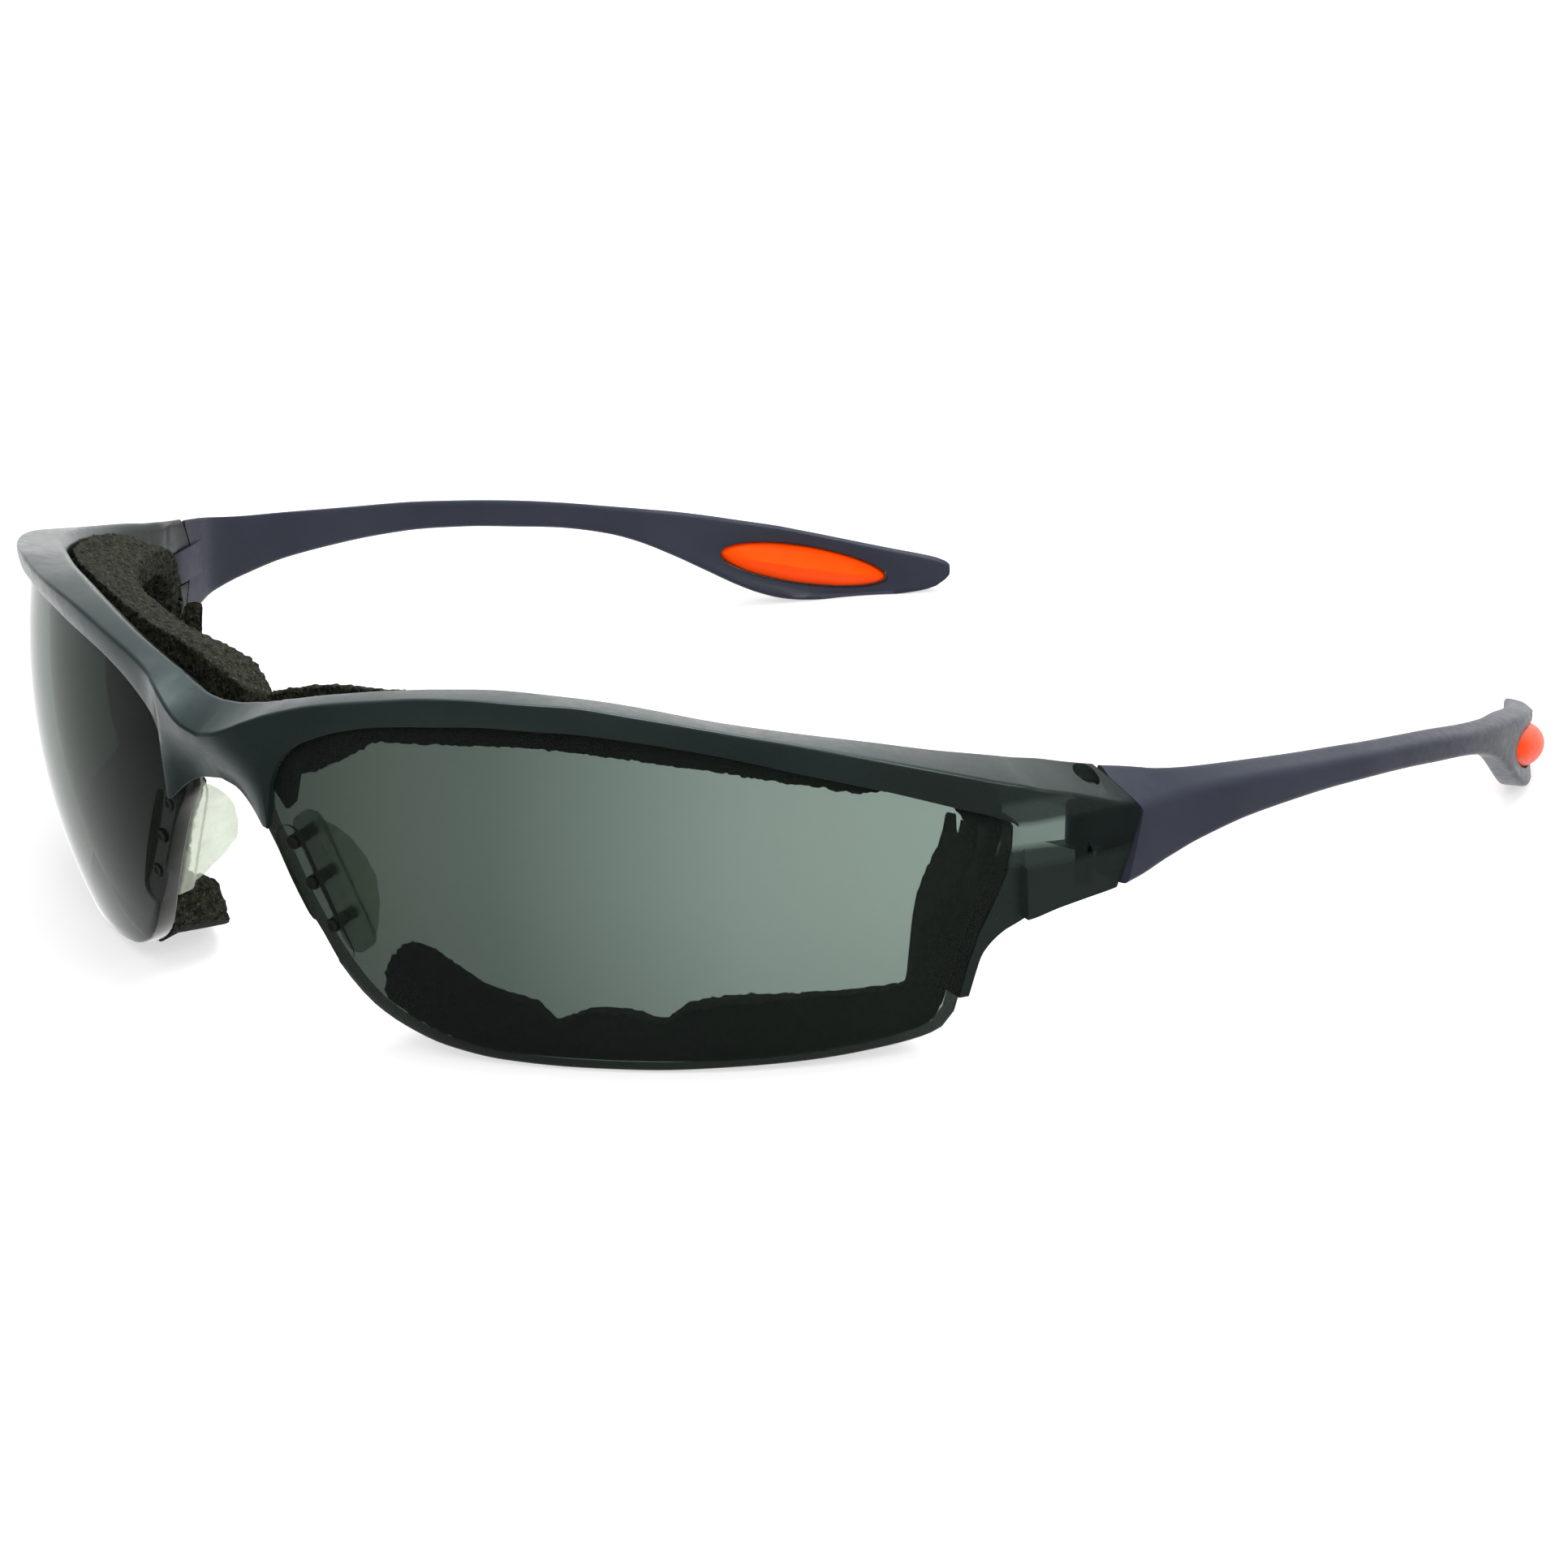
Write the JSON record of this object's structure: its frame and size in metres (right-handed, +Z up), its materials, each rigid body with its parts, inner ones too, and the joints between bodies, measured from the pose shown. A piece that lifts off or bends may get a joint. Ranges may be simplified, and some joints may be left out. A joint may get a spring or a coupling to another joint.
{
  "type": "safety glasses",
  "caption": "Wrap-round safety glasses with a half-rim brow, smoke lenses, foam gaskets, soft nose pads and folding temples with oval inserts.",
  "frame": {"origin": "on the resting surface, under the middle of the glasses' box", "axes": "+X to the wearer's left, +Y to the rear along the open temples, +Z up"},
  "size_m": [0.1432, 0.1749, 0.0409],
  "materials": {
    "smoke_frame": "satin smoke polycarbonate, slightly see-through at the endpieces",
    "smoke_lens": "polished grey-green smoke polycarbonate, see-through",
    "foam": "coarse olive-grey open-cell foam",
    "clear_rubber": "clear soft silicone, satin",
    "dark_stud": "dark moulded plastic",
    "pin_steel": "dark plated steel",
    "charcoal_temple": "satin charcoal plastic with a faint violet tint",
    "orange_insert": "glossy orange elastomer"
  },
  "bodies": {
    "front": {"front_frame": "smoke_frame", "lens_left": "smoke_lens", "foam_gasket_left": "foam", "nose_pad_left": "clear_rubber", "nose_pad_stud_left_1": "dark_stud", "nose_pad_stud_left_2": "dark_stud", "nose_pad_stud_left_3": "dark_stud", "hinge_pin_left": "pin_steel", "lens_right": "smoke_lens", "foam_gasket_right": "foam", "nose_pad_right": "clear_rubber", "nose_pad_stud_right_1": "dark_stud", "nose_pad_stud_right_2": "dark_stud", "nose_pad_stud_right_3": "dark_stud", "hinge_pin_right": "pin_steel"},
    "temple_left": {"temple_left": "charcoal_temple", "temple_insert_left": "orange_insert"},
    "temple_right": {"temple_right": "charcoal_temple", "temple_insert_right": "orange_insert"}
  },
  "joints": [
    {"name": "temple_left_fold", "type": "hinge", "parent": "front", "child": "temple_left", "pos_m": [0.0668, -0.0275, 0.02345], "axis": [0, 0, 1], "range_deg": [0, 79]},
    {"name": "temple_right_fold", "type": "hinge", "parent": "front", "child": "temple_right", "pos_m": [-0.0668, -0.0275, 0.02345], "axis": [0, 0, -1], "range_deg": [0, 72]}
  ]
}
